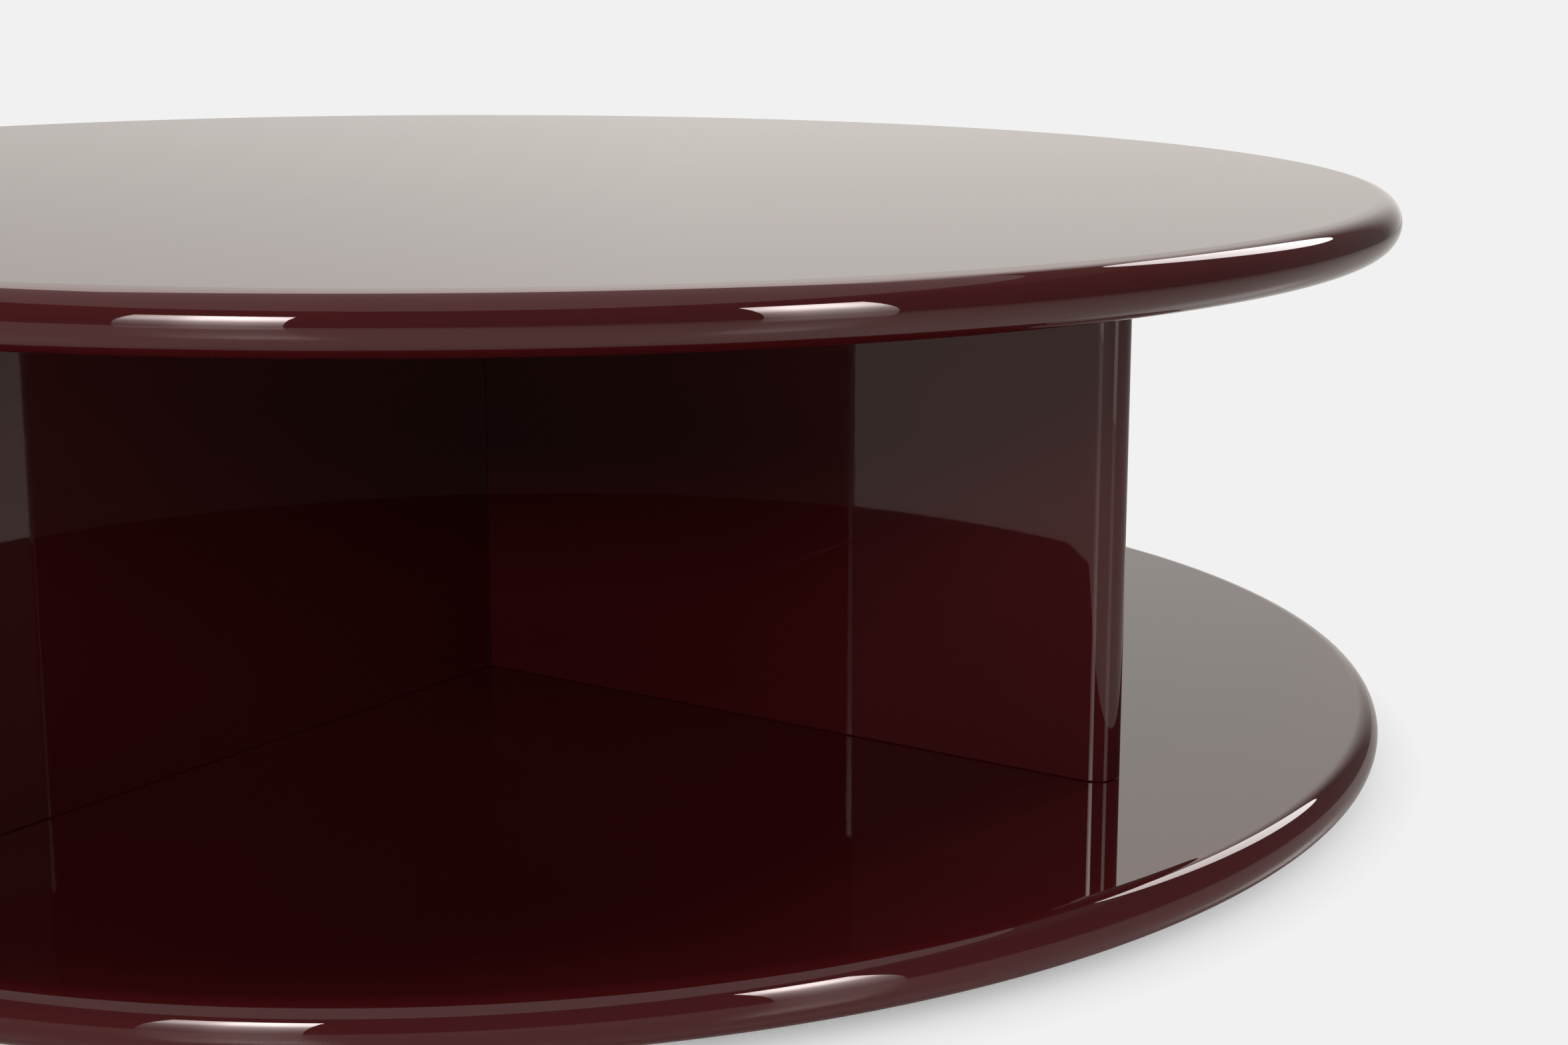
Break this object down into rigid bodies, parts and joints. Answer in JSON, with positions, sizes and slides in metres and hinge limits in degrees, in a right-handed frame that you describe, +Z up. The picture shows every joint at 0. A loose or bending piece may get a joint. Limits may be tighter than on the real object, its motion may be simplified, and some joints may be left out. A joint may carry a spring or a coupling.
{
  "type": "round cocktail table",
  "caption": "Low round table: a round top and an equal round base with full-round rims, held apart by two upright panels that cross at the middle, on levelling feet.",
  "frame": {"origin": "on the floor, under the table's centre", "axes": "+Z up along the table's axis; one panel runs along X and the other along Y"},
  "size_m": [1.2198, 1.2198, 0.377],
  "materials": {
    "burgundy_lacquer": "burgundy lacquer on board, polished to a mirror gloss",
    "beech": "plain turned beech",
    "zinc_plated_steel": "bright zinc plating",
    "black_nylon": "moulded, fine matt"
  },
  "bodies": {
    "table": {"table_top": "burgundy_lacquer", "base_disc": "burgundy_lacquer", "cross_panel_lower": "burgundy_lacquer", "cross_panel_upper": "burgundy_lacquer", "base_dowels": "beech", "top_dowels": "beech", "tie_bolts": "zinc_plated_steel", "tie_bolt_washers": "zinc_plated_steel", "tie_bolt_inserts": "zinc_plated_steel", "leveller_inserts": "zinc_plated_steel"},
    "leveller_pad_1": {"leveller_pad_1": "black_nylon"},
    "leveller_stud_1": {"leveller_stud_1": "zinc_plated_steel"},
    "leveller_pad_2": {"leveller_pad_2": "black_nylon"},
    "leveller_stud_2": {"leveller_stud_2": "zinc_plated_steel"},
    "leveller_pad_3": {"leveller_pad_3": "black_nylon"},
    "leveller_stud_3": {"leveller_stud_3": "zinc_plated_steel"},
    "leveller_pad_4": {"leveller_pad_4": "black_nylon"},
    "leveller_stud_4": {"leveller_stud_4": "zinc_plated_steel"}
  },
  "joints": [
    {"name": "leveller_1_height", "type": "slide", "parent": "table", "child": "leveller_pad_1", "axis": [0, 0, -1], "range_m": [0, 0.01]},
    {"name": "leveller_1_turn", "type": "hinge", "parent": "leveller_pad_1", "child": "leveller_stud_1", "pos_m": [0.38184, 0.38184, 0], "axis": [0, 0, -1], "range_deg": [0, 2880]},
    {"name": "leveller_2_height", "type": "slide", "parent": "table", "child": "leveller_pad_2", "axis": [0, 0, -1], "range_m": [0, 0.01]},
    {"name": "leveller_2_turn", "type": "hinge", "parent": "leveller_pad_2", "child": "leveller_stud_2", "pos_m": [-0.38184, 0.38184, 0], "axis": [0, 0, -1], "range_deg": [0, 2880]},
    {"name": "leveller_3_height", "type": "slide", "parent": "table", "child": "leveller_pad_3", "axis": [0, 0, -1], "range_m": [0, 0.01]},
    {"name": "leveller_3_turn", "type": "hinge", "parent": "leveller_pad_3", "child": "leveller_stud_3", "pos_m": [-0.38184, -0.38184, 0], "axis": [0, 0, -1], "range_deg": [0, 2880]},
    {"name": "leveller_4_height", "type": "slide", "parent": "table", "child": "leveller_pad_4", "axis": [0, 0, -1], "range_m": [0, 0.01]},
    {"name": "leveller_4_turn", "type": "hinge", "parent": "leveller_pad_4", "child": "leveller_stud_4", "pos_m": [0.38184, -0.38184, 0], "axis": [0, 0, -1], "range_deg": [0, 2880]}
  ],
  "couplings": [
    {"joint": "leveller_1_turn", "follows": "leveller_1_height", "rad_per_m": 5026.5},
    {"joint": "leveller_2_turn", "follows": "leveller_2_height", "rad_per_m": 5026.5},
    {"joint": "leveller_3_turn", "follows": "leveller_3_height", "rad_per_m": 5026.5},
    {"joint": "leveller_4_turn", "follows": "leveller_4_height", "rad_per_m": 5026.5}
  ]
}
